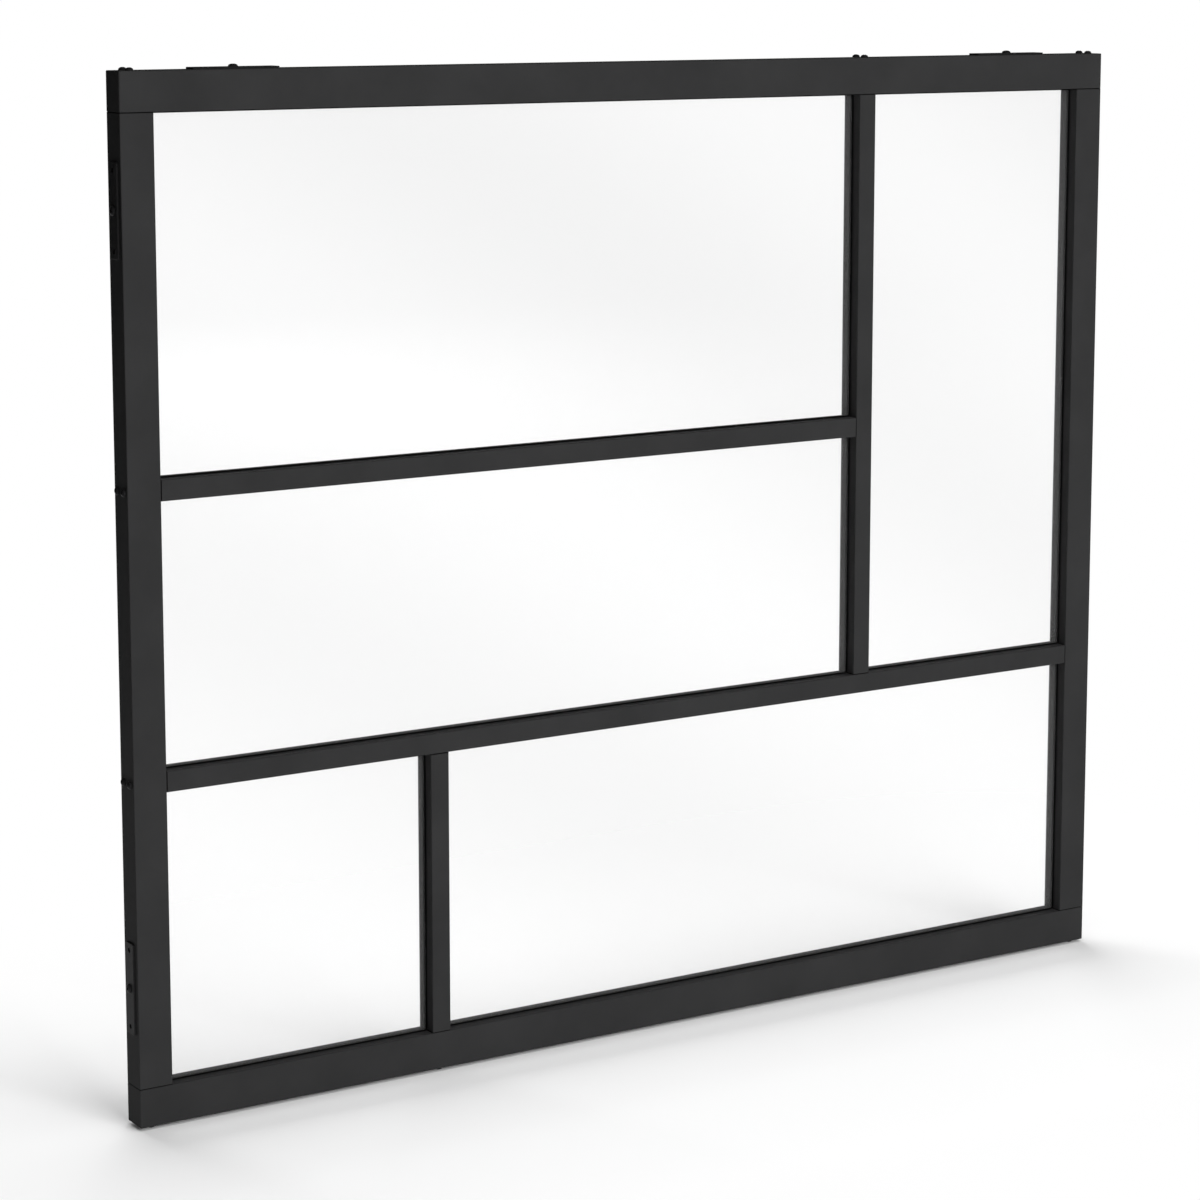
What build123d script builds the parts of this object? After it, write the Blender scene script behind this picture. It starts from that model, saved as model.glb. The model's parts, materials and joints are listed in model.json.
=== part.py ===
"""Fixed glass partition panel: a screwed frame of hollow metal profiles with five glazed openings.

The panel stands in the XZ plane and its front looks along -Y. The origin is in the middle of
the underside of the bottom rail. All sizes are in millimetres.
"""
import os

from build123d import *

# Overall frame
panel_width = 1200.0
panel_height = 1030.0
frame_depth = 30.0

# Visible faces of the members
rail_face = 39.0
stile_face = 35.0
bar_face = 21.0

# Centre lines of the glazing bars, from the underside and from the outer sides
main_bar_height = 344.0
upper_bar_height = 630.0
lower_mullion_from_left = 339.0
upper_mullion_from_right = 327.0

# Hollow profile
wall = 1.6
edge_radius = 1.0
groove_depth = 7.0
rail_web_setback = 16.0
stile_web_setback = 14.0
port_spacing = 15.0
port_core_radius = 1.75
port_boss_radius = 3.3

# Glass and the rubber channel around its edge
glass_thickness = 4.0
gasket_lip = 0.5
gasket_base = 1.0
gasket_recess = 0.8
gasket_end_gap = 0.2

# Caps that close the ends of the rails
cap_thickness = 2.0
cap_edge_chamfer = 0.7
plug_length = 12.0
plug_clearance = 0.2

# Fixing straps
strap_length = 92.0
strap_width = 18.0
strap_thickness = 2.0
strap_corner_radius = 2.0
strap_edge_chamfer = 0.3
strap_hole_spacing = 77.0
strap_hole_radius = 2.5
strap_screw_hole_radius = 2.75
top_strap_inset = 125.5
upper_strap_drop = 131.5
lower_strap_rise = 139.0

# Places that several pieces share
groove_width = glass_thickness + 2 * gasket_lip
glass_cover = groove_depth - gasket_base
left_side = -panel_width / 2
right_side = panel_width / 2
left_sight = left_side + stile_face
right_sight = right_side - stile_face
bottom_sight = rail_face
top_sight = panel_height - rail_face
main_low = main_bar_height - bar_face / 2
main_high = main_bar_height + bar_face / 2
upper_low = upper_bar_height - bar_face / 2
upper_high = upper_bar_height + bar_face / 2
lower_mullion_x = left_side + lower_mullion_from_left
upper_mullion_x = right_side - upper_mullion_from_right
lower_mullion_left = lower_mullion_x - bar_face / 2
lower_mullion_right = lower_mullion_x + bar_face / 2
upper_mullion_left = upper_mullion_x - bar_face / 2
upper_mullion_right = upper_mullion_x + bar_face / 2
rail_length = panel_width - 2 * cap_thickness
stile_length = top_sight - bottom_sight

# Directions across the depth that turn a section's inner side the right way
towards_front = (0, -1, 0)
towards_back = (0, 1, 0)
along_width = (1, 0, 0)
against_width = (-1, 0, 0)
upwards = (0, 0, 1)
downwards = (0, 0, -1)

os.makedirs("parts", exist_ok=True)


def hollow_profile(face, web_at, groove_mouths, with_ports):
    """Section of a member: depth along X, face along Y from 0, one glazing groove for each mouth."""
    chamber_depth = frame_depth - 2 * wall
    block_height = groove_depth + wall
    ports = [(-port_spacing / 2, web_at), (port_spacing / 2, web_at)]
    with BuildSketch() as section:
        with Locations((0, face / 2)):
            RectangleRounded(frame_depth, face, edge_radius)
            Rectangle(chamber_depth, face - 2 * wall, mode=Mode.SUBTRACT)
        with Locations((0, web_at)):
            Rectangle(chamber_depth, wall)
        for mouth, inward in groove_mouths:
            with Locations((0, mouth + inward * block_height / 2)):
                Rectangle(groove_width + 2 * wall, block_height)
        if with_ports:
            with Locations(*ports):
                Circle(port_boss_radius)
                Circle(port_core_radius, mode=Mode.SUBTRACT)
        for mouth, inward in groove_mouths:
            with Locations((0, mouth + inward * groove_depth / 2)):
                Rectangle(groove_width, groove_depth, mode=Mode.SUBTRACT)
    return section.sketch


rail_section = hollow_profile(rail_face, rail_web_setback, [(rail_face, -1)], with_ports=False)
stile_section = hollow_profile(stile_face, stile_web_setback, [(stile_face, -1)], with_ports=True)
bar_section = hollow_profile(bar_face, bar_face / 2, [(0, 1), (bar_face, -1)], with_ports=True)

# Top and bottom rails, which run over the ends of the stiles
top_rail_start = Plane((left_side + cap_thickness, 0, panel_height), towards_front, along_width)
with BuildPart() as top_rail:
    with BuildSketch(top_rail_start):
        add(rail_section)
    extrude(amount=rail_length)
top_rail.part.label = "top_rail"
export_step(top_rail.part, "parts/top_rail.step")

bottom_rail_start = Plane((left_side + cap_thickness, 0, 0), towards_back, along_width)
with BuildPart() as bottom_rail:
    with BuildSketch(bottom_rail_start):
        add(rail_section)
    extrude(amount=rail_length)
bottom_rail.part.label = "bottom_rail"
export_step(bottom_rail.part, "parts/bottom_rail.step")

# Stiles, which stand between the rails
with BuildPart() as left_stile:
    with BuildSketch(Plane((left_side, 0, bottom_sight), towards_front, upwards)):
        add(stile_section)
    extrude(amount=stile_length)
left_stile.part.label = "left_stile"
export_step(left_stile.part, "parts/left_stile.step")

with BuildPart() as right_stile:
    with BuildSketch(Plane((right_side, 0, bottom_sight), towards_back, upwards)):
        add(stile_section)
    extrude(amount=stile_length)
right_stile.part.label = "right_stile"
export_step(right_stile.part, "parts/right_stile.step")

# Glazing bars with a groove on each side
with BuildPart() as main_bar:
    with BuildSketch(Plane((left_sight, 0, main_low), towards_back, along_width)):
        add(bar_section)
    extrude(amount=right_sight - left_sight)
main_bar.part.label = "main_bar"
export_step(main_bar.part, "parts/main_bar.step")

with BuildPart() as upper_bar:
    with BuildSketch(Plane((left_sight, 0, upper_low), towards_back, along_width)):
        add(bar_section)
    extrude(amount=upper_mullion_left - left_sight)
upper_bar.part.label = "upper_bar"
export_step(upper_bar.part, "parts/upper_bar.step")

with BuildPart() as upper_mullion:
    with BuildSketch(Plane((upper_mullion_left, 0, main_high), towards_front, upwards)):
        add(bar_section)
    extrude(amount=top_sight - main_high)
upper_mullion.part.label = "upper_mullion"
export_step(upper_mullion.part, "parts/upper_mullion.step")

with BuildPart() as lower_mullion:
    with BuildSketch(Plane((lower_mullion_left, 0, bottom_sight), towards_front, upwards)):
        add(bar_section)
    extrude(amount=main_low - bottom_sight)
lower_mullion.part.label = "lower_mullion"
export_step(lower_mullion.part, "parts/lower_mullion.step")

# End caps: a flush plate, with a plug in the chamber behind the rail's outer wall
plug_depth = frame_depth - 2 * (wall + plug_clearance)
plug_low = wall + plug_clearance
plug_high = rail_web_setback - wall / 2 - plug_clearance
rail_ends = {
    "top_rail_left_cap": (left_side + cap_thickness, panel_height, towards_back, against_width),
    "top_rail_right_cap": (right_side - cap_thickness, panel_height, towards_front, along_width),
    "bottom_rail_left_cap": (left_side + cap_thickness, 0, towards_front, against_width),
    "bottom_rail_right_cap": (right_side - cap_thickness, 0, towards_back, along_width),
}
for cap_name, (seat_x, outer_z, depth_way, out_way) in rail_ends.items():
    seat = Plane((seat_x, 0, outer_z), depth_way, out_way)
    with BuildPart() as end_cap:
        with BuildSketch(seat):
            with Locations((0, rail_face / 2)):
                RectangleRounded(frame_depth, rail_face, edge_radius)
        extrude(amount=cap_thickness)
        outer_face = end_cap.faces().sort_by(Axis(seat.origin, seat.z_dir))[-1]
        chamfer(outer_face.edges(), cap_edge_chamfer)
        with BuildSketch(seat):
            with Locations((0, (plug_low + plug_high) / 2)):
                Rectangle(plug_depth, plug_high - plug_low)
        extrude(amount=-plug_length)
    end_cap.part.label = cap_name
    export_step(end_cap.part, f"parts/{cap_name}.step")

# Clear openings between the members: left, right, bottom and top edges
openings = {
    "top_left": (left_sight, upper_mullion_left, upper_high, top_sight),
    "middle_left": (left_sight, upper_mullion_left, main_high, upper_low),
    "right": (upper_mullion_right, right_sight, main_high, top_sight),
    "bottom_left": (left_sight, lower_mullion_left, bottom_sight, main_low),
    "bottom_right": (lower_mullion_right, right_sight, bottom_sight, main_low),
}

for opening_name, (left, right, bottom, top) in openings.items():
    width = right - left
    height = top - bottom
    middle_x = (left + right) / 2
    middle_z = (bottom + top) / 2

    # The glass reaches into the grooves on all four sides
    with BuildPart() as pane:
        with BuildSketch(Plane.XZ):
            with Locations((middle_x, middle_z)):
                Rectangle(width + 2 * glass_cover, height + 2 * glass_cover)
        extrude(amount=glass_thickness / 2, both=True)
    pane.part.label = f"{opening_name}_pane"
    export_step(pane.part, f"parts/{opening_name}_pane.step")

    # Four lengths of rubber channel fill the grooves around the glass
    strip = groove_depth - gasket_recess
    strip_offset = gasket_recess + strip / 2
    level_run = width + 2 * groove_depth
    upright_run = height + 2 * (gasket_recess - gasket_end_gap)
    with BuildPart() as gasket:
        with BuildSketch(Plane.XZ):
            with Locations((middle_x, bottom - strip_offset), (middle_x, top + strip_offset)):
                Rectangle(level_run, strip)
            with Locations((left - strip_offset, middle_z), (right + strip_offset, middle_z)):
                Rectangle(strip, upright_run)
        extrude(amount=groove_width / 2, both=True)
        add(pane.part, mode=Mode.SUBTRACT)
    gasket.part.label = f"{opening_name}_gasket"
    export_step(gasket.part, f"parts/{opening_name}_gasket.step")

# Fixing straps on the top and on both sides, turned in line with the frame
upper_strap_z = panel_height - upper_strap_drop
strap_seats = {
    "top_left_strap": Plane((left_side + top_strap_inset, 0, panel_height), along_width, upwards),
    "top_right_strap": Plane((right_side - top_strap_inset, 0, panel_height), along_width, upwards),
    "left_upper_strap": Plane((left_side, 0, upper_strap_z), upwards, against_width),
    "left_lower_strap": Plane((left_side, 0, lower_strap_rise), upwards, against_width),
    "right_upper_strap": Plane((right_side, 0, upper_strap_z), upwards, along_width),
    "right_lower_strap": Plane((right_side, 0, lower_strap_rise), upwards, along_width),
}
for strap_name, seat in strap_seats.items():
    with BuildPart() as strap:
        with BuildSketch(seat):
            RectangleRounded(strap_length, strap_width, strap_corner_radius)
        extrude(amount=strap_thickness)
        outer_face = strap.faces().sort_by(Axis(seat.origin, seat.z_dir))[-1]
        chamfer(outer_face.edges(), strap_edge_chamfer)
        with BuildSketch(seat):
            Circle(strap_screw_hole_radius)
            with GridLocations(strap_hole_spacing, 0, 2, 1):
                Circle(strap_hole_radius)
        extrude(amount=strap_thickness, mode=Mode.SUBTRACT)
    strap.part.label = strap_name
    export_step(strap.part, f"parts/{strap_name}.step")
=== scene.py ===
# %% [markdown]
# # A glass partition in a black frame
# This lesson dresses a fixed interior screen: a slim black metal frame that holds five panes of
# clear glass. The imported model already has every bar, pane, rubber strip and fixing strap at its
# real size, so those shapes stay as they are. What is left is the finish of each surface, the
# screw heads that hold the frame together, and a pale studio to look at it in.

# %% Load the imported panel
import json
import math

import bpy
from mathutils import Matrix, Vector


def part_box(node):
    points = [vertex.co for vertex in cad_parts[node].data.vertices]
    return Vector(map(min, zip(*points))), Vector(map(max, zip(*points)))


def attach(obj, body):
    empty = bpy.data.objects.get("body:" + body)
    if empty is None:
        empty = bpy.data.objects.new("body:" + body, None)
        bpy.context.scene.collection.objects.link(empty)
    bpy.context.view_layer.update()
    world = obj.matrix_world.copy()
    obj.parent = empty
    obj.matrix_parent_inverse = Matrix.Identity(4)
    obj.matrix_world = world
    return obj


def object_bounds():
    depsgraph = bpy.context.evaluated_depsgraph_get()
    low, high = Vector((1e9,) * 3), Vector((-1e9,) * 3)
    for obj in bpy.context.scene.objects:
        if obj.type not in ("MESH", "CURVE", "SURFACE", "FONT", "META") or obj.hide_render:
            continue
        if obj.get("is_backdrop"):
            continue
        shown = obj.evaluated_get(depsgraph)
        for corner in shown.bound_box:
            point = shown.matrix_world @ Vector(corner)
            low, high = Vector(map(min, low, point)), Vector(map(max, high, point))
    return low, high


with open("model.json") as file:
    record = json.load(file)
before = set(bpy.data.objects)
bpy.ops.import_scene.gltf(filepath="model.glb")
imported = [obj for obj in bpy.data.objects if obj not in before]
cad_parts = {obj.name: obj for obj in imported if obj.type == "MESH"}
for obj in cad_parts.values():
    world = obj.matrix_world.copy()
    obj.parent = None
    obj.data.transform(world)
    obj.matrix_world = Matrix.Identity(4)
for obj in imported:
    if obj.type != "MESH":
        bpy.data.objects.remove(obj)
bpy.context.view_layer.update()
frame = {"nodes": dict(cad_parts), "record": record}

# %% [markdown]
# ## Where things are
# Every later step needs a few places on the panel, such as the middle of a glazing bar. They are
# read from the nodes and not typed in, so the screws stay on their joints if a bar moves.

# %% Read the main places from the nodes
panel_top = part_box("top_rail")[1].z
panel_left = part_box("left_stile")[0].x
panel_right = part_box("right_stile")[1].x


def middle(node):
    """The middle point of a node's box."""
    low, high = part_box(node)
    return (low + high) / 2


print("panel:", round(panel_right - panel_left, 3), "m wide,", round(panel_top, 3), "m high")

# %% [markdown]
# ## A short way to write node trees
# Materials and Geometry Nodes are both trees of nodes. Three plain lines are needed for each node
# and each link, which hides the idea, so one helper adds a node, sets it up and fills its inputs.
# An input is either a value or the output socket of an earlier node.

# %% Helpers for node trees
def add_node(tree, kind, inputs=None, **settings):
    """Add a node with its settings, then fill or link the inputs named in the dictionary."""
    node = tree.nodes.new(kind)
    for name, value in settings.items():
        setattr(node, name, value)
    for name, value in (inputs or {}).items():
        if isinstance(value, bpy.types.NodeSocket):
            tree.links.new(value, node.inputs[name])
        else:
            node.inputs[name].default_value = value
    return node


def new_finish(name):
    """A new material, with its tree and its Principled shader."""
    finish = bpy.data.materials.new(name)
    finish.use_nodes = True
    return finish, finish.node_tree, finish.node_tree.nodes["Principled BSDF"]


def two_tones(tree, factor, dark, light):
    """A grey-scale ramp between two colours; returns its colour socket."""
    ramp = add_node(tree, "ShaderNodeValToRGB", {"Fac": factor})
    ramp.color_ramp.elements[0].position = 0.3
    ramp.color_ramp.elements[1].position = 0.7
    ramp.color_ramp.elements[0].color = (*dark, 1)
    ramp.color_ramp.elements[1].color = (*light, 1)
    return ramp.outputs["Color"]


# %% [markdown]
# ## Black powder coat
# The frame is aluminium with a satin black powder coat. Powder melts into a skin with a fine
# orange-peel ripple, and its tone and gloss drift a little along a bar. A flat black would look
# like a hole in the picture, so one slow noise drives tone and roughness, and a fine one with a
# grain of about a millimetre drives the bump. All of it reads Object coordinates in metres.
#
# Each bar is coated before the frame is screwed together. Where a bar butts against the next one,
# the shade in the hairline gap is painted into the colour as a near-black line, so every bar gets
# a coat of its own with two such painted shade lines.

# %% Helper for the painted joint shade at a bar's ends
# Width and colour of the painted shade line that stands for the shadow in each joint gap.
joint_shade_width = 0.0008
joint_shade_black = (0.002, 0.002, 0.002, 1)


def end_shade_lines(tree, place, tone, axis, low, high):
    """The given tone, but painted nearly black in the last part of a millimetre at both ends of a bar, as
    the shade in its joint gaps.
    """
    along = add_node(tree, "ShaderNodeSeparateXYZ", {0: place}).outputs[axis]
    offset = add_node(tree, "ShaderNodeMath", {0: along, 1: (low + high) / 2}, operation="SUBTRACT")
    reach = add_node(tree, "ShaderNodeMath", {0: offset.outputs[0]}, operation="ABSOLUTE")
    # Painted shade: near-black over the last part of a millimetre at each end, where the joint gap lies in
    # shade.
    joint_shade_mask = add_node(tree, "ShaderNodeMath", {
        0: reach.outputs[0], 1: (high - low) / 2 - joint_shade_width}, operation="GREATER_THAN")
    shaded_tone = add_node(tree, "ShaderNodeMix", {
        "Factor": joint_shade_mask.outputs[0], 6: tone, 7: joint_shade_black}, data_type="RGBA")
    return shaded_tone.outputs[2]


# %% Make the powder coat
drift_scale = 14.0
peel_scale = 850.0
coat_smooth, coat_rough = 0.52, 0.62
coat_shine = 0.02


def powder_coat(name, dark, light, seed, ends=None):
    """Satin black coat with an orange-peel skin, and painted shade lines at a bar's ends if they are given.
    """
    coat, tree, shader = new_finish(name)
    place = add_node(tree, "ShaderNodeTexCoord").outputs["Object"]
    moved = add_node(tree, "ShaderNodeMapping", {"Vector": place, "Location": (seed, 0, 0)}).outputs[0]
    drift = add_node(tree, "ShaderNodeTexNoise", {"Vector": moved, "Scale": drift_scale, "Detail": 4.0})
    peel = add_node(tree, "ShaderNodeTexNoise", {"Vector": moved, "Scale": peel_scale, "Detail": 2.0})
    gloss = add_node(tree, "ShaderNodeMapRange", {
        "Value": drift.outputs["Fac"], "From Min": 0.3, "From Max": 0.7,
        "To Min": coat_smooth, "To Max": coat_rough})
    skin = add_node(tree, "ShaderNodeBump", {
        "Height": peel.outputs["Fac"], "Strength": 0.25, "Distance": 0.0002})
    tone = two_tones(tree, drift.outputs["Fac"], dark, light)
    # Painted shade lines at the bar's ends, standing for the shadow in its joint gaps.
    if ends:
        tone = end_shade_lines(tree, place, tone, *ends)
    tree.links.new(tone, shader.inputs["Base Color"])
    tree.links.new(gloss.outputs["Result"], shader.inputs["Roughness"])
    tree.links.new(skin.outputs["Normal"], shader.inputs["Normal"])
    shader.inputs["Specular IOR Level"].default_value = coat_shine
    return coat


coat_tones = (0.029, 0.029, 0.0295), (0.035, 0.035, 0.0355)
frame_coat = powder_coat("frame_coat", *coat_tones, seed=0.0)
cap_coat = powder_coat("cap_coat", (0.028, 0.028, 0.0285), (0.034, 0.034, 0.0345), seed=3.7)
uprights = ["left_stile", "right_stile", "upper_mullion", "lower_mullion"]
level_bars = ["main_bar", "upper_bar"]
shaded_bar_coats = {}
for bar in uprights + level_bars:
    low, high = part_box(bar)
    # Each bar gets its own coat, with painted joint shade at both ends of its length.
    ends = ("Z", low.z, high.z) if bar in uprights else ("X", low.x, high.x)
    shaded_bar_coats[bar] = powder_coat(bar + "_coat", *coat_tones, seed=1.3 * len(shaded_bar_coats) + 5.0, ends=ends)
print("coats:", 2 + len(shaded_bar_coats))

# %% [markdown]
# ## Blackened steel
# The fixing straps are cut from rolled steel strip, and the screws are steel too. Both are
# blackened in a hot bath that leaves a thin oxide, a little shinier and more uneven than the
# coat. Rolling leaves faint lines along the strip, so its noise is stretched in one direction.

# %% Make the blackened steel
def blackened_steel(name, dark, light, stretch, rough):
    """Oxide-black steel with fine rolling lines."""
    steel, tree, shader = new_finish(name)
    place = add_node(tree, "ShaderNodeTexCoord").outputs["Object"]
    rolled = add_node(tree, "ShaderNodeMapping", {"Vector": place, "Scale": stretch}).outputs[0]
    lines = add_node(tree, "ShaderNodeTexNoise", {"Vector": rolled, "Scale": 300.0, "Detail": 5.0})
    gloss = add_node(tree, "ShaderNodeMapRange", {
        "Value": lines.outputs["Fac"], "From Min": 0.3, "From Max": 0.7,
        "To Min": rough - 0.06, "To Max": rough + 0.06})
    skin = add_node(tree, "ShaderNodeBump", {
        "Height": lines.outputs["Fac"], "Strength": 0.15, "Distance": 0.0001})
    tree.links.new(two_tones(tree, lines.outputs["Fac"], dark, light), shader.inputs["Base Color"])
    tree.links.new(gloss.outputs["Result"], shader.inputs["Roughness"])
    tree.links.new(skin.outputs["Normal"], shader.inputs["Normal"])
    shader.inputs["Specular IOR Level"].default_value = 0.08
    return steel


strap_tones = (0.014, 0.014, 0.0145), (0.021, 0.021, 0.0215)
screw_tones = (0.012, 0.012, 0.0125), (0.019, 0.019, 0.0195)
strap_steel = blackened_steel("strap_steel", *strap_tones, stretch=(1, 6, 1), rough=0.50)
screw_steel = blackened_steel("screw_steel", *screw_tones, stretch=(1, 1, 1), rough=0.42)
print("steels:", strap_steel.name, screw_steel.name)

# %% [markdown]
# ## Rubber in the glazing grooves
# A channel of black rubber grips the edge of each pane inside the groove. It only shows as a dark
# line beside the glass. Extruded rubber is matt and slightly dusty, so it has high roughness and
# a fine grain.

# %% Make the rubber
def groove_rubber(name, dark, light):
    """Matt black extruded rubber."""
    rubber, tree, shader = new_finish(name)
    place = add_node(tree, "ShaderNodeTexCoord").outputs["Object"]
    grain = add_node(tree, "ShaderNodeTexNoise", {"Vector": place, "Scale": 1200.0, "Detail": 3.0})
    skin = add_node(tree, "ShaderNodeBump", {
        "Height": grain.outputs["Fac"], "Strength": 0.2, "Distance": 0.0001})
    tree.links.new(two_tones(tree, grain.outputs["Fac"], dark, light), shader.inputs["Base Color"])
    tree.links.new(skin.outputs["Normal"], shader.inputs["Normal"])
    shader.inputs["Roughness"].default_value = 0.8
    shader.inputs["Specular IOR Level"].default_value = 0.03
    return rubber


gasket_rubber = groove_rubber("gasket_rubber", (0.0015, 0.0015, 0.0015), (0.003, 0.003, 0.003))
print("rubber:", gasket_rubber.name)

# %% [markdown]
# ## Clear glass
# The panes are clear toughened glass. Real glass both bends and mirrors light, which the
# Principled shader does by itself. Three things are added. Shadow rays meet a Transparent shader,
# because a path tracer would otherwise leave a black shadow behind clear glass. The base colour
# drifts in wide, soft, slanting bands, a painted reflection sheen that runs over all the panes.
# And a few hundredths of the shader stay matt, like the film on any pane that has been handled,
# which lightens the dark bars seen through it.

# %% Make the glass
film_share = 0.03
# Slope, spacing and phase of the bands of painted reflection sheen in the glass colour.
reflection_band_slope = math.radians(31)
reflection_band_spacing = 0.50
reflection_band_start = math.radians(45)


def clear_glass(name, sheen_dim, sheen_bright):
    """Clear glass that lets lamps through, with a faint slanting painted reflection sheen in its colour."""
    glass, tree, shader = new_finish(name)
    place = add_node(tree, "ShaderNodeTexCoord").outputs["Object"]
    across = add_node(tree, "ShaderNodeVectorMath", {
        0: place, 1: (math.sin(reflection_band_slope), 0, math.cos(reflection_band_slope))}, operation="DOT_PRODUCT")
    turn = add_node(tree, "ShaderNodeMath", {
        0: across.outputs["Value"], 1: math.tau / reflection_band_spacing, 2: reflection_band_start}, operation="MULTIPLY_ADD")
    wave = add_node(tree, "ShaderNodeMath", {0: turn.outputs[0]}, operation="COSINE")
    half = add_node(tree, "ShaderNodeMapRange", {"Value": wave.outputs[0], "From Min": -1.0})
    # Painted reflection: the base colour swings between a dimmer and a brighter tint along slanting bands.
    sheen = add_node(tree, "ShaderNodeMix", {
        "Factor": half.outputs["Result"], 6: (*sheen_dim, 1), 7: (*sheen_bright, 1)}, data_type="RGBA")
    tree.links.new(sheen.outputs[2], shader.inputs["Base Color"])
    shader.inputs["Transmission Weight"].default_value = 1 - film_share
    shader.inputs["Roughness"].default_value = 0.0
    shader.inputs["IOR"].default_value = 1.5
    ray = add_node(tree, "ShaderNodeLightPath")
    clear = add_node(tree, "ShaderNodeBsdfTransparent")
    shown = add_node(tree, "ShaderNodeMixShader", {
        0: ray.outputs["Is Shadow Ray"], 1: shader.outputs[0], 2: clear.outputs[0]})
    tree.links.new(shown.outputs[0], tree.nodes["Material Output"].inputs["Surface"])
    return glass


# The dim and bright tints of the painted reflection sheen.
pane_glass = clear_glass("pane_glass", (0.93, 0.93, 0.93), (0.99, 0.99, 0.99))
print("glass:", pane_glass.name)

# %% [markdown]
# ## Finishes onto the nodes
# The record says which material slot each node belongs to. A node keeps its mesh, and only its
# material slot gets the new finish. A bar with a coat of its own takes that one.

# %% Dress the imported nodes
finishes = {
    "frame_coat": frame_coat,
    "cap_coat": cap_coat,
    "glass": pane_glass,
    "gasket_rubber": gasket_rubber,
    "strap_steel": strap_steel,
    "screw_steel": screw_steel,
}
for subpart in frame["record"]["subparts"]:
    node = frame["nodes"][subpart["node"]]
    node.data.materials.clear()
    node.data.materials.append(shaded_bar_coats.get(subpart["node"], finishes[subpart["material_slot"]]))

# %% [markdown]
# ## Screw heads
# Two pan-head screws hold each joint of the frame, and one button-head screw holds each strap.
# They repeat, so Geometry Nodes make them: one head is built once and set on every seat. The head
# is turned, so a flat grid is rolled up like a lathe would do it. One side of the grid runs round
# the axis, and the other runs from the middle of the underside, over the rim, up to the crown.
# Modelling each head by hand would give the same shape with far more work to change it.

# %% Lathe nodes: a grid rolled into a domed head
round_steps = 40
profile_steps = 14
rim_share = 0.22
weld_reach = 0.00001


def domed_head(tree, radius, height):
    """Nodes that make a closed domed head on the Z axis, standing on Z = 0."""
    flat = 1 / profile_steps
    rim = 2 / profile_steps
    sheet = add_node(tree, "GeometryNodeMeshGrid", {
        "Vertices X": round_steps + 1, "Vertices Y": profile_steps + 1})
    along = add_node(tree, "ShaderNodeSeparateXYZ", {0: sheet.outputs["UV Map"]})

    def stretch(start, end, top):
        """How far the profile has got between two of its stations, from 0 to top."""
        return add_node(tree, "ShaderNodeMapRange", {
            "Value": along.outputs["Y"], "From Min": start, "From Max": end, "To Max": top}).outputs[0]

    def work(operation, *values):
        """One Math node."""
        return add_node(tree, "ShaderNodeMath", dict(enumerate(values)), operation=operation).outputs[0]

    dome = stretch(rim, 1.0, math.pi / 2)
    out = work("MULTIPLY", stretch(0.0, flat, 1.0), work("COSINE", dome))
    lift = work("MULTIPLY_ADD", work("SINE", dome), 1 - rim_share, stretch(flat, rim, rim_share))
    turn = work("MULTIPLY", along.outputs["X"], math.tau)
    reach = work("MULTIPLY", out, radius)
    spot = add_node(tree, "ShaderNodeCombineXYZ", {
        "X": work("MULTIPLY", reach, work("COSINE", turn)),
        "Y": work("MULTIPLY", reach, work("SINE", turn)),
        "Z": work("MULTIPLY", lift, height)})
    rolled = add_node(tree, "GeometryNodeSetPosition", {
        "Geometry": sheet.outputs["Mesh"], "Position": spot.outputs[0]})
    closed = add_node(tree, "GeometryNodeMergeByDistance", {
        "Geometry": rolled.outputs[0], "Distance": weld_reach})
    return closed.outputs[0]


# %% [markdown]
# ## The drive in the head
# A button head has a six-sided socket, and a pan head has a cross. Both are cut with a Boolean
# by simple cutters, which is how a punch forms them. The cutter stands half above the crown, so
# twice its depth is its height. The two arms of the cross end on the same level, which the quick
# solver can't cut cleanly, so the Boolean uses the exact one, and points that it doubles are welded.

# %% Cutter nodes for the drive
def drive_cutters(tree, kind, width, slot, depth, height):
    """Sockets of the meshes that cut a "hex" socket or a "cross" recess into a head."""
    tall = add_node(tree, "ShaderNodeMath", {0: depth, 1: 2.0}, operation="MULTIPLY").outputs[0]
    crown = add_node(tree, "ShaderNodeCombineXYZ", {"Z": height}).outputs[0]
    if kind == "hex":
        half = add_node(tree, "ShaderNodeMath", {0: width, 1: 0.5}, operation="MULTIPLY").outputs[0]
        blanks = [add_node(tree, "GeometryNodeMeshCylinder", {
            "Vertices": 6, "Radius": half, "Depth": tall}).outputs["Mesh"]]
    else:
        arms = [{"X": width, "Y": slot, "Z": tall}, {"X": slot, "Y": width, "Z": tall}]
        sizes = [add_node(tree, "ShaderNodeCombineXYZ", arm).outputs[0] for arm in arms]
        blanks = [add_node(tree, "GeometryNodeMeshCube", {"Size": size}).outputs["Mesh"] for size in sizes]
    return [add_node(tree, "GeometryNodeTransform", {
        "Geometry": blank, "Translation": crown}).outputs[0] for blank in blanks]


# %% [markdown]
# ## One head on every seat
# The seats come in as loose points with an "outward" direction. Each head turns its own axis to
# that direction and gets a random twist from a fixed seed, since nobody lines screws up. The
# tree ends by making the instances real and giving them their material.

# %% The screw tree
sharp_angle = math.radians(32)


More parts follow.
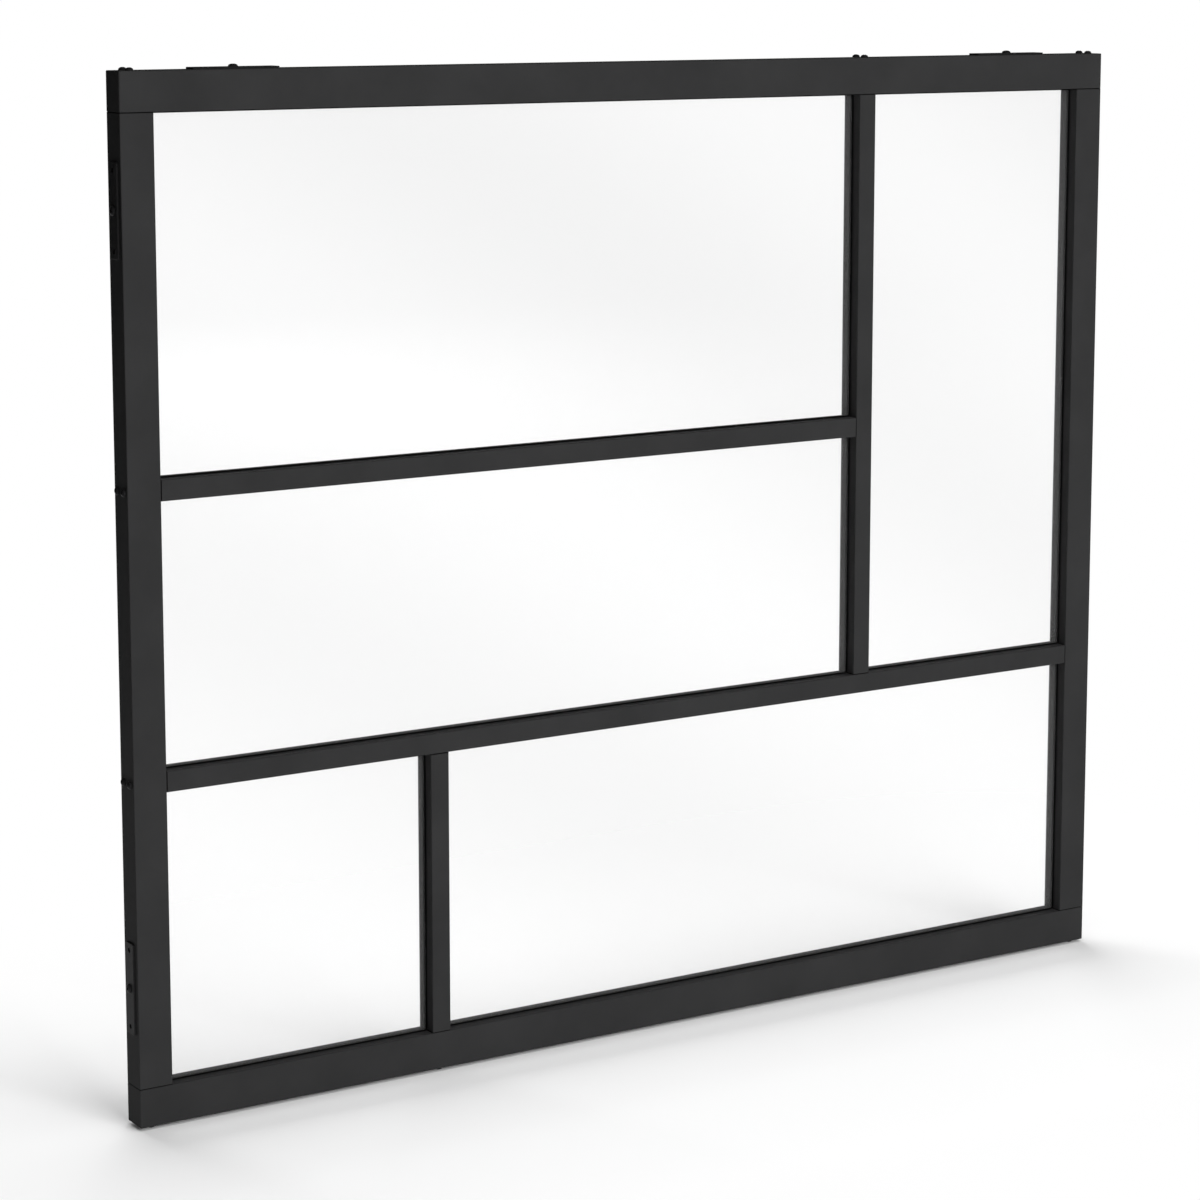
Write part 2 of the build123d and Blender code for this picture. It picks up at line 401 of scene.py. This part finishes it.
def screw_tree(name, kind):
    """A Geometry Nodes tree that sets one screw head on each seat."""
    tree = bpy.data.node_groups.new(name, "GeometryNodeTree")
    tree.interface.new_socket("Seats", in_out="INPUT", socket_type="NodeSocketGeometry")
    for size in ("Head radius", "Head height", "Drive width", "Drive slot", "Drive depth"):
        tree.interface.new_socket(size, in_out="INPUT", socket_type="NodeSocketFloat")
    tree.interface.new_socket("Twist seed", in_out="INPUT", socket_type="NodeSocketInt")
    tree.interface.new_socket("Finish", in_out="INPUT", socket_type="NodeSocketMaterial")
    tree.interface.new_socket("Heads", in_out="OUTPUT", socket_type="NodeSocketGeometry")
    given = add_node(tree, "NodeGroupInput").outputs

    head = domed_head(tree, given["Head radius"], given["Head height"])
    cut = add_node(tree, "GeometryNodeMeshBoolean", {
        "Mesh 1": head}, operation="DIFFERENCE", solver="EXACT")
    for cutter in drive_cutters(tree, kind, given["Drive width"], given["Drive slot"],
                                given["Drive depth"], given["Head height"]):
        tree.links.new(cutter, cut.inputs["Mesh 2"])
    welded = add_node(tree, "GeometryNodeMergeByDistance", {
        "Geometry": cut.outputs["Mesh"], "Distance": weld_reach})
    smooth = add_node(tree, "GeometryNodeSetShadeSmooth", {"Geometry": welded.outputs[0]}, domain="FACE")
    bend = add_node(tree, "GeometryNodeInputMeshEdgeAngle").outputs["Unsigned Angle"]
    corner = add_node(tree, "ShaderNodeMath", {0: bend, 1: sharp_angle}, operation="GREATER_THAN")
    crisp = add_node(tree, "GeometryNodeSetShadeSmooth", {
        "Geometry": smooth.outputs[0], "Selection": corner.outputs[0], "Shade Smooth": False}, domain="EDGE")

    outward = add_node(tree, "GeometryNodeInputNamedAttribute", {
        "Name": "outward"}, data_type="FLOAT_VECTOR")
    stand = add_node(tree, "FunctionNodeAlignRotationToVector", {"Vector": outward.outputs[0]}, axis="Z")
    twist = add_node(tree, "FunctionNodeRandomValue", {
        "Max": (0, 0, math.tau), "Seed": given["Twist seed"]}, data_type="FLOAT_VECTOR")
    spin = add_node(tree, "FunctionNodeEulerToRotation", {0: twist.outputs[0]})
    turned = add_node(tree, "FunctionNodeRotateRotation", {
        "Rotation": stand.outputs[0], "Rotate By": spin.outputs[0]}, rotation_space="LOCAL")
    placed = add_node(tree, "GeometryNodeInstanceOnPoints", {
        "Points": given["Seats"], "Instance": crisp.outputs[0], "Rotation": turned.outputs[0]})
    real = add_node(tree, "GeometryNodeRealizeInstances", {0: placed.outputs[0]})
    coloured = add_node(tree, "GeometryNodeSetMaterial", {
        "Geometry": real.outputs[0], "Material": given["Finish"]})
    add_node(tree, "NodeGroupOutput", {"Heads": coloured.outputs[0]})
    return tree


pan_tree = screw_tree("pan_heads", "cross")
button_tree = screw_tree("button_heads", "hex")
for tree in (pan_tree, button_tree):
    print("tree:", tree.name, "with", len(tree.nodes), "nodes")

# %% [markdown]
# ## Where the screws sit
# A bar ends against another bar, and its two screws come through from the far side into the screw
# ports of its hollow profile. So the rails carry screws over each stile and mullion, and the
# stiles carry them at the ends of the long bars. The panel stands on the heads under its rail.

# %% List the seats
port_spacing = 0.015
stile_port = 0.014
upward, downward = Vector((0, 0, 1)), Vector((0, 0, -1))
leftward, rightward = Vector((-1, 0, 0)), Vector((1, 0, 0))
stile_ports = [panel_left + stile_port, panel_right - stile_port]
joints = [(Vector((x, 0, panel_top)), upward) for x in (*stile_ports, middle("upper_mullion").x)]
joints += [(Vector((x, 0, 0)), downward) for x in (*stile_ports, middle("lower_mullion").x)]
joints += [(Vector((panel_left, 0, middle(bar).z)), leftward) for bar in ("upper_bar", "main_bar")]
joints += [(Vector((panel_right, 0, middle("main_bar").z)), rightward)]
pan_seats = [(place + Vector((0, side * port_spacing / 2, 0)), outward)
             for place, outward in joints for side in (-1, 1)]

strap_faces = {"top_left_strap": upward, "top_right_strap": upward,
               "left_upper_strap": leftward, "left_lower_strap": leftward,
               "right_upper_strap": rightward, "right_lower_strap": rightward}


def strap_seat(strap, outward):
    """The middle of a strap's outer face, with the way it faces."""
    low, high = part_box(strap)
    half_size = (high - low) / 2
    return (low + high) / 2 + Vector([half * way for half, way in zip(half_size, outward)]), outward


button_seats = [strap_seat(strap, outward) for strap, outward in strap_faces.items()]
print("seats:", len(pan_seats), "pan heads,", len(button_seats), "button heads")

# %% [markdown]
# ## From the tree to plain meshes
# A carrier object holds the seats and the modifier. Its inputs are set by identifier before it is
# first evaluated. The evaluated result is copied to a plain mesh, and the carrier goes away, so
# what is left is one mesh for each kind of screw, already in its place.

# %% Evaluate the screws
def grow(name, tree, start, sizes):
    """Run a tree on a start mesh and keep the result as a plain mesh."""
    carrier = bpy.data.objects.new(name + "_carrier", start)
    bpy.context.collection.objects.link(carrier)
    maker = carrier.modifiers.new("maker", "NODES")
    maker.node_group = tree
    for socket in tree.interface.items_tree:
        if socket.name in sizes:
            maker[socket.identifier] = sizes[socket.name]
    made = carrier.evaluated_get(bpy.context.evaluated_depsgraph_get())
    mesh = bpy.data.meshes.new_from_object(made)
    mesh.name = name
    bpy.data.objects.remove(carrier)
    piece = bpy.data.objects.new(name, mesh)
    bpy.context.collection.objects.link(piece)
    return piece


def set_screws(name, tree, seats, sizes):
    """One plain mesh with a screw head on each seat."""
    points = bpy.data.meshes.new(name + "_seats")
    points.from_pydata([place for place, outward in seats], [], [])
    facing = points.attributes.new("outward", "FLOAT_VECTOR", "POINT")
    for entry, (place, outward) in zip(facing.data, seats):
        entry.vector = outward
    return grow(name, tree, points, sizes)


pan_sizes = {"Head radius": 0.0040, "Head height": 0.0031, "Drive width": 0.0042, "Drive slot": 0.0009,
             "Drive depth": 0.0016, "Twist seed": 5, "Finish": screw_steel}
button_sizes = {"Head radius": 0.00475, "Head height": 0.00275, "Drive width": 0.0035, "Drive slot": 0.0,
                "Drive depth": 0.0015, "Twist seed": 11, "Finish": screw_steel}
pan_heads = set_screws("pan_head_screws", pan_tree, pan_seats, pan_sizes)
button_heads = set_screws("button_head_screws", button_tree, button_seats, button_sizes)
for heads in (pan_heads, button_heads):
    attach(heads, "root")
    print(heads.name, "faces:", len(heads.data.polygons))

# %% [markdown]
# ## Rubber beads
# A round rubber cord is pressed into the corner between each pane and its bars, on both faces of
# the glass. It closes the groove and shows as a thin black line. A cord is one section swept along
# a path, so the paths are drawn as loops of edges and Geometry Nodes sweep a small circle along
# all of them at once. The corners are rounded first, because a cord can't turn sharply.

# %% The bead tree
bead_turn = 0.002


def bead_tree(name):
    """A Geometry Nodes tree that sweeps a round section along every loop of edges."""
    tree = bpy.data.node_groups.new(name, "GeometryNodeTree")
    tree.interface.new_socket("Loops", in_out="INPUT", socket_type="NodeSocketGeometry")
    tree.interface.new_socket("Bead radius", in_out="INPUT", socket_type="NodeSocketFloat")
    tree.interface.new_socket("Finish", in_out="INPUT", socket_type="NodeSocketMaterial")
    tree.interface.new_socket("Beads", in_out="OUTPUT", socket_type="NodeSocketGeometry")
    given = add_node(tree, "NodeGroupInput").outputs
    path = add_node(tree, "GeometryNodeMeshToCurve", {"Mesh": given["Loops"]})
    eased = add_node(tree, "GeometryNodeFilletCurve", {
        "Curve": path.outputs[0], "Radius": bead_turn}, mode="POLY")
    section = add_node(tree, "GeometryNodeCurvePrimitiveCircle", {
        "Resolution": 12, "Radius": given["Bead radius"]})
    swept = add_node(tree, "GeometryNodeCurveToMesh", {
        "Curve": eased.outputs[0], "Profile Curve": section.outputs[0]})
    smooth = add_node(tree, "GeometryNodeSetShadeSmooth", {"Geometry": swept.outputs[0]})
    real = add_node(tree, "GeometryNodeRealizeInstances", {0: smooth.outputs[0]})
    coloured = add_node(tree, "GeometryNodeSetMaterial", {
        "Geometry": real.outputs[0], "Material": given["Finish"]})
    add_node(tree, "NodeGroupOutput", {"Beads": coloured.outputs[0]})
    return tree


# %% Draw the loops and sweep them
bead_radius = 0.00075
bead_play = 0.00002
glass_cover = 0.006
bead_step = bead_radius + bead_play
corners, loop_edges = [], []
for opening in ("top_left", "middle_left", "right", "bottom_left", "bottom_right"):
    low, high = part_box(opening + "_pane")
    inset = glass_cover + bead_step
    left, right, bottom, top = low.x + inset, high.x - inset, low.z + inset, high.z - inset
    for depth in (low.y - bead_step, high.y + bead_step):
        first = len(corners)
        corners += [(left, depth, bottom), (right, depth, bottom), (right, depth, top), (left, depth, top)]
        loop_edges += [(first + i, first + (i + 1) % 4) for i in range(4)]
loops = bpy.data.meshes.new("bead_loops")
loops.from_pydata(corners, loop_edges, [])
bead_sizes = {"Bead radius": bead_radius, "Finish": gasket_rubber}
beads = grow("glazing_beads", bead_tree("beads"), loops, bead_sizes)
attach(beads, "root")
print(beads.name, "loops:", len(corners) // 4, "faces:", len(beads.data.polygons))

# %% [markdown]
# ## What the camera sees directly
# A white studio is easy to fake and easy to overdo: if the walls really shone, the black frame
# would turn grey. So the white is kept for rays that come straight from the camera or through
# glass. Light Path tells those rays apart. The diffuse depth is asked for as well, since light
# that has already bounced off a matt surface must not find the white behind a pane.

# %% Helper for the white background
def directly_seen(tree):
    """A socket that is 1 for what the camera sees directly or through glass."""
    ray = add_node(tree, "ShaderNodeLightPath").outputs
    viewed = add_node(tree, "ShaderNodeMath", {
        0: ray["Is Camera Ray"], 1: ray["Is Transmission Ray"]}, operation="MAXIMUM")
    first = add_node(tree, "ShaderNodeMath", {0: ray["Diffuse Depth"], 1: 0.5}, operation="LESS_THAN")
    both = add_node(tree, "ShaderNodeMath", {
        0: viewed.outputs[0], 1: first.outputs[0]}, operation="MULTIPLY")
    return both.outputs[0]


# %% [markdown]
# ## The floor
# The studio floor is a wide pale sheet that runs to the horizon. Close to the panel it is a plain
# matt surface, so that it takes the panel's shadow. Further away it fades into the white of the
# background.

# %% Lay the floor
floor_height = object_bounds()[0].z
floor_reach = 40.0
shadow_near = 0.08
shadow_far = 0.70


def studio_floor():
    """A pale matt floor that fades to white with the distance from the panel."""
    paint, tree, shader = new_finish("studio_floor")
    shader.inputs["Base Color"].default_value = (0.93, 0.93, 0.93, 1)
    shader.inputs["Roughness"].default_value = 0.9
    shader.inputs["Specular IOR Level"].default_value = 0.1
    place = add_node(tree, "ShaderNodeTexCoord").outputs["Object"]
    span = add_node(tree, "ShaderNodeVectorMath", {0: place}, operation="ABSOLUTE")
    past = add_node(tree, "ShaderNodeVectorMath", {
        0: span.outputs[0], 1: (panel_right, 0, 0)}, operation="SUBTRACT")
    outside = add_node(tree, "ShaderNodeVectorMath", {0: past.outputs[0]}, operation="MAXIMUM")
    away = add_node(tree, "ShaderNodeVectorMath", {0: outside.outputs[0]}, operation="LENGTH")
    fade = add_node(tree, "ShaderNodeMapRange", {
        "Value": away.outputs["Value"], "From Min": shadow_near, "From Max": shadow_far},
        interpolation_type="SMOOTHSTEP")
    share = add_node(tree, "ShaderNodeMath", {
        0: fade.outputs["Result"], 1: directly_seen(tree)}, operation="MULTIPLY")
    white = add_node(tree, "ShaderNodeEmission", {"Color": (1, 1, 1, 1), "Strength": 1.0})
    shown = add_node(tree, "ShaderNodeMixShader", {
        0: share.outputs[0], 1: shader.outputs[0], 2: white.outputs[0]})
    tree.links.new(shown.outputs[0], tree.nodes["Material Output"].inputs["Surface"])
    return paint


def stage_sheet(name, corners, paint):
    """A flat four-cornered piece of the studio, which isn't part of the panel."""
    mesh = bpy.data.meshes.new(name)
    mesh.from_pydata(corners, [], [(0, 1, 2, 3)])
    mesh.materials.append(paint)
    sheet = bpy.data.objects.new(name, mesh)
    bpy.context.collection.objects.link(sheet)
    sheet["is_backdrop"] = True
    return sheet


floor = stage_sheet("floor", [
    (-floor_reach, -floor_reach, floor_height), (floor_reach, -floor_reach, floor_height),
    (floor_reach, floor_reach, floor_height), (-floor_reach, floor_reach, floor_height)], studio_floor())
print("floor at", round(floor_height * 1000, 2), "mm, under the screw heads")

# %% [markdown]
# ## The light
# Three broad soft boxes make soft shadows. One stands in front and lights the front of the frame,
# one hangs above, and one stands behind, so that the bottom rail leaves a short shadow on the floor
# in front. All three are a little to the right of the panel's middle, so its left end stays darker.
# Light linking keeps the upper box for the floor: it would make the bars' upper faces as light as
# their fronts, and the bars would look flat. The world gives a low even light. The lamps are hidden
# from mirror rays and from rays through glass: bright squares would show in the panes, and light
# that already passes the glass as shadow rays would be counted twice.

# %% Set up the lamps and the world
target = Vector((0, 0, panel_top / 2))


def soft_box(name, place, aim, width, height, power):
    """A broad lamp that shines from its place towards a point."""
    lamp = bpy.data.lights.new(name, "AREA")
    lamp.shape = "RECTANGLE"
    lamp.size = width
    lamp.size_y = height
    lamp.energy = power
    light = bpy.data.objects.new(name, lamp)
    light.location = place
    light.rotation_euler = (Vector(aim) - Vector(place)).to_track_quat("-Z", "Y").to_euler()
    light.visible_camera = False
    light.visible_glossy = False
    light.visible_transmission = False
    bpy.context.collection.objects.link(light)
    return light


front_box = soft_box("front_box", (0.6, -6.2, 2.6), aim=target, width=3.5, height=3.0, power=332)
top_box = soft_box("top_box", (0.1, -0.3, 4.0), aim=(0.1, -0.2, 0), width=2.2, height=5.0, power=100)
back_box = soft_box("back_box", (0.5, 3.0, 1.2), aim=(0.5, 0, 0.3), width=3.6, height=2.4, power=100)
floor_only = bpy.data.collections.new("floor_only")
floor_only.objects.link(floor)
top_box.light_linking.receiver_collection = floor_only

world = bpy.data.worlds.new("studio")
bpy.context.scene.world = world
world.use_nodes = True
sky = world.node_tree
sky.nodes.clear()
low_light = add_node(sky, "ShaderNodeBackground", {"Color": (1, 1, 1, 1), "Strength": 0.15})
white_wall = add_node(sky, "ShaderNodeBackground", {"Color": (1, 1, 1, 1), "Strength": 1.0})
shown = add_node(sky, "ShaderNodeMixShader", {
    0: directly_seen(sky), 1: low_light.outputs[0], 2: white_wall.outputs[0]})
add_node(sky, "ShaderNodeOutputWorld", {"Surface": shown.outputs[0]})
print("lamps:", [lamp.name for lamp in (front_box, top_box, back_box)])

# %% [markdown]
# ## A dark card on the left
# On a black frame the faces are told apart by what they mirror. Photographers stand a black card
# beside the set, so that the end faces turn darker than the front. This one stands on the left,
# and neither the camera nor a ray through the glass sees it.

# %% Stand the card
card_gap = 0.7
card_front, card_back = -0.5, 10.0
card_top = 4.0


def black_cloth():
    """Plain matt black cloth."""
    cloth, tree, shader = new_finish("black_cloth")
    shader.inputs["Base Color"].default_value = (0.02, 0.02, 0.02, 1)
    shader.inputs["Roughness"].default_value = 1.0
    shader.inputs["Specular IOR Level"].default_value = 0.0
    return cloth


card_x = panel_left - card_gap
card = stage_sheet("dark_card", [
    (card_x, card_front, floor_height), (card_x, card_back, floor_height),
    (card_x, card_back, card_top), (card_x, card_front, card_top)], black_cloth())
card.visible_camera = False
card.visible_transmission = False
card.visible_shadow = False
print("card at x =", round(card_x, 2), "m")

# %% [markdown]
# ## The camera
# The panel is seen from its left, from a little above its top edge, with a long lens. Its uprights
# are nearly parallel in the picture, which a photographer gets by shifting the lens instead of
# tilting the camera. A small shift does most of that here, and a slight tilt does the rest.

# %% Place the camera
camera_place = Vector((-1.876, -2.877, 1.125))
camera_yaw = math.radians(32.28)
camera_tilt = math.radians(8.41)
view = bpy.data.cameras.new("camera")
view.sensor_width = 36.0
view.lens = 98.99
view.shift_y = -0.12
camera = bpy.data.objects.new("camera", view)
camera.location = camera_place
camera.rotation_euler = (math.pi / 2 - camera_tilt, 0, -camera_yaw)
bpy.context.collection.objects.link(camera)
bpy.context.scene.camera = camera
print("camera:", round((camera_place - target).length, 2), "m from the panel's middle")

# %% [markdown]
# The Standard view transform shows colours as they are written. The dressed panel stands proud of
# the imported one only by its screw heads, and its visual size is printed.

# %% Finish
bpy.context.scene.view_settings.view_transform = "Standard"
low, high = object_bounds()
print("visual size in metres:", [round(side, 4) for side in high - low])
